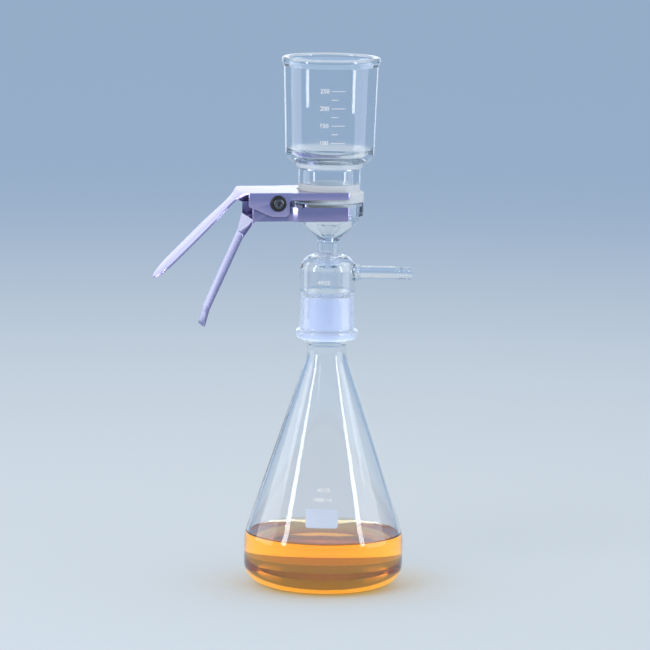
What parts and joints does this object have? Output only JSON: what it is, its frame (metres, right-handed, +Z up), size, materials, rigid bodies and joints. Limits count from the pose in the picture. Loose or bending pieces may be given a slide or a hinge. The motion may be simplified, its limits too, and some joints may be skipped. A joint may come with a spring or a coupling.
{
  "type": "vacuum filtration assembly",
  "caption": "Glass vacuum filtration set: graduated funnel clamped to a fritted support base with a hose side arm on a conical ground-joint receiving flask.",
  "frame": {"origin": "centre of the flask's flat foot, where it stands on the bench", "axes": "+Z up along the glassware's common axis; +X along the suction side arm, out of its hose barb; -Y is the printed front"},
  "size_m": [0.2119, 0.131, 0.4376],
  "materials": {
    "clear_glass": "clear, polished",
    "sintered_glass": "matte porous",
    "white_enamel": "fired-on enamel, satin",
    "filtrate": "clear liquid",
    "membrane": "matte",
    "anodised_aluminium": "satin anodised",
    "steel": "bright plated",
    "dark_steel": "blackened, polished",
    "black_plastic": "glossy"
  },
  "bodies": {
    "flask": {"receiver_flask": "clear_glass", "filtrate": "filtrate", "flask_marking_spot": "white_enamel"},
    "base": {"filter_support": "clear_glass", "sintered_disc": "sintered_glass", "ground_cap": "clear_glass", "side_arm": "clear_glass", "membrane_filter": "membrane"},
    "funnel": {"funnel": "clear_glass", "funnel_graduations": "white_enamel"},
    "clamp_lower": {"clamp_lower_arm": "anodised_aluminium", "pivot_rivet": "dark_steel", "front_washer": "black_plastic", "rear_washer": "black_plastic", "spring_spool": "black_plastic", "torsion_spring": "steel"},
    "clamp_upper": {"clamp_upper_arm": "anodised_aluminium"}
  },
  "joints": [
    {"name": "base_lift", "type": "slide", "parent": "flask", "child": "base", "axis": [0, 0, 1], "range_m": [0, 0.06]},
    {"name": "funnel_turn", "type": "hinge", "parent": "base", "child": "funnel", "pos_m": [0, 0, 0.31895], "axis": [0, 0, 1], "continuous": true},
    {"name": "clamp_pull_off", "type": "slide", "parent": "funnel", "child": "clamp_lower", "axis": [-0.9799, -0.1994, 0], "range_m": [0, 0.06]},
    {"name": "clamp_squeeze", "type": "hinge", "parent": "clamp_lower", "child": "clamp_upper", "pos_m": [-0.04635, -0.00943, 0.3203], "axis": [0.1994, -0.9799, 0], "range_deg": [0, 12], "stiffness_Nm_per_rad": 0.8, "springref_deg": -28.65, "deforming": ["torsion_spring"]}
  ]
}
